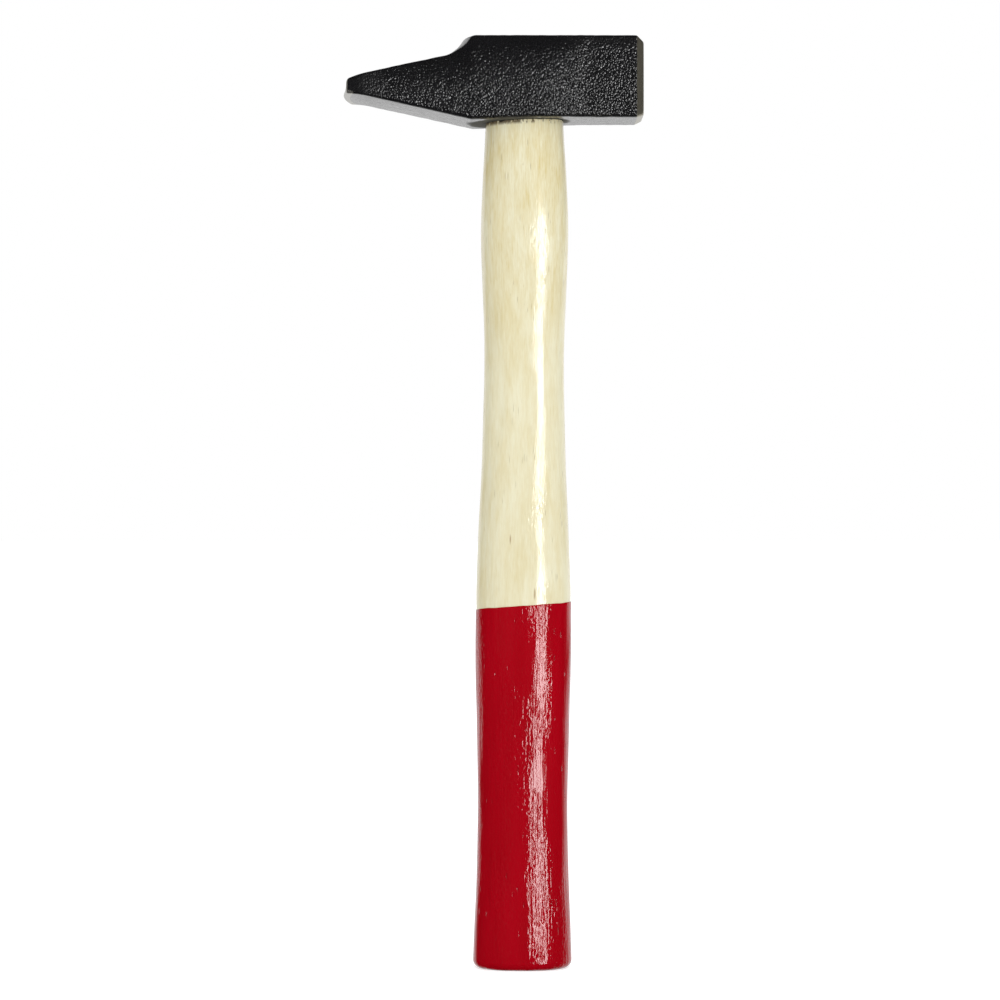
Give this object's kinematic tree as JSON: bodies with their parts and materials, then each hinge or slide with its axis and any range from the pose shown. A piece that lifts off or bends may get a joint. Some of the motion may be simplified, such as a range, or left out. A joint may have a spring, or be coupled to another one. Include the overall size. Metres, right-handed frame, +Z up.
{
  "type": "cross-peen hammer",
  "caption": "Cross-peen hammer: a forged head with a square face and a wedge peen, on an oval wooden handle with a dipped grip.",
  "frame": {"origin": "centre of the butt's flat end, on the axis of the handle", "axes": "+Z runs up the handle to the head, +X points to the striking face, and the peen points to -X"},
  "size_m": [0.1019, 0.034, 0.3163],
  "materials": {
    "head_enamel": "glossy black textured enamel, with a bare ground striking face and peen tip",
    "handle_ash": "clear varnished pale ash, grain along the handle",
    "wedge_hardwood": "sawn hardwood, end grain showing",
    "wedge_steel": "plain drawn steel, dulled by hammering",
    "grip_red": "glossy red dipped lacquer over wood grain"
  },
  "bodies": {
    "root": {"head": "head_enamel", "handle": "handle_ash", "wood_wedge": "wedge_hardwood", "steel_wedge_face_side": "wedge_steel", "steel_wedge_peen_side": "wedge_steel", "grip_lacquer": "grip_red"}
  },
  "joints": []
}
